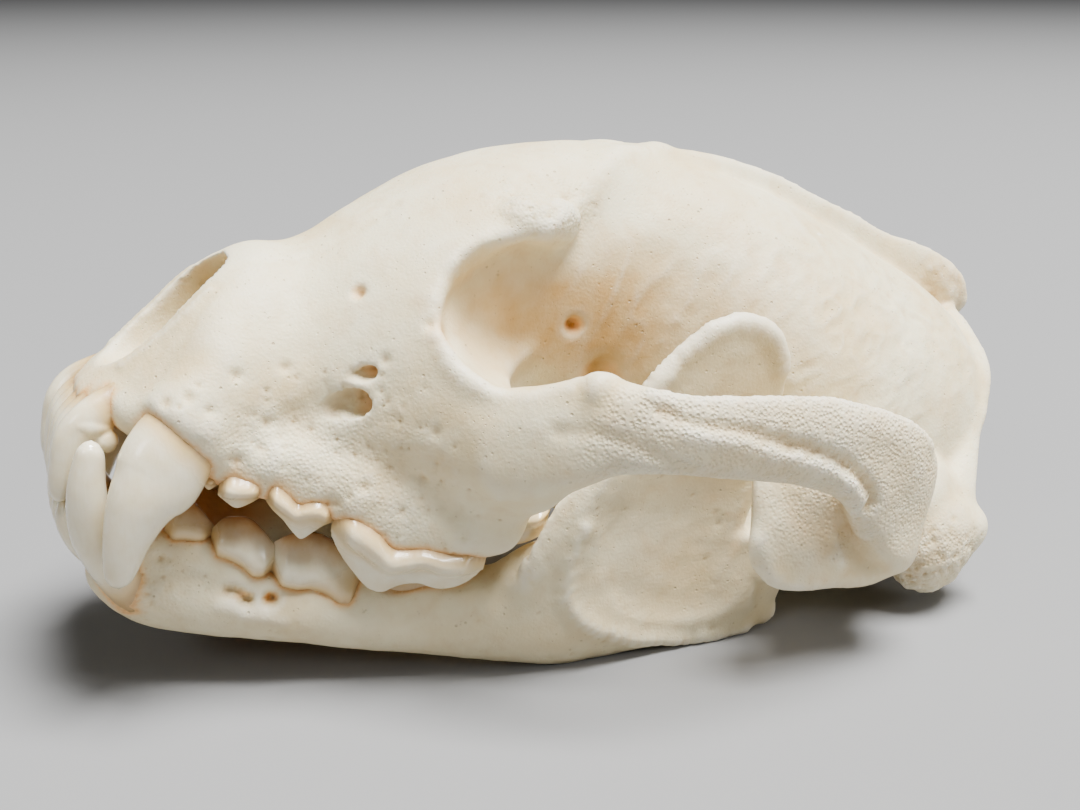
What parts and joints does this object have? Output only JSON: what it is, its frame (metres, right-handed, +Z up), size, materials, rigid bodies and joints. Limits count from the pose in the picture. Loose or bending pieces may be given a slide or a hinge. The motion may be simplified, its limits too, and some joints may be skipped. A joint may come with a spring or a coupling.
{
  "type": "wolverine skull model",
  "caption": "Life-size wolverine skull with its lower jaw, jaws closed, lying on its jaw bones, with long canines and shearing cheek teeth.",
  "frame": {"origin": "on the floor, under the middle of the skull's length and width", "axes": "+Z up from the table the skull lies on, -Y towards the front teeth, +X towards the animal's left side"},
  "size_m": [0.102, 0.1648, 0.0749],
  "materials": {
    "skull_bone": "dry cleaned bone, cream, satin",
    "arch_bone": "dry cleaned bone, beige and finely pitted, matt",
    "jaw_bone": "dry cleaned bone, cream, satin"
  },
  "bodies": {
    "root": {"cranium": "skull_bone", "zygomatic_arch_left": "arch_bone", "zygomatic_arch_right": "arch_bone", "mandible_left": "jaw_bone", "mandible_right": "jaw_bone"}
  },
  "joints": []
}
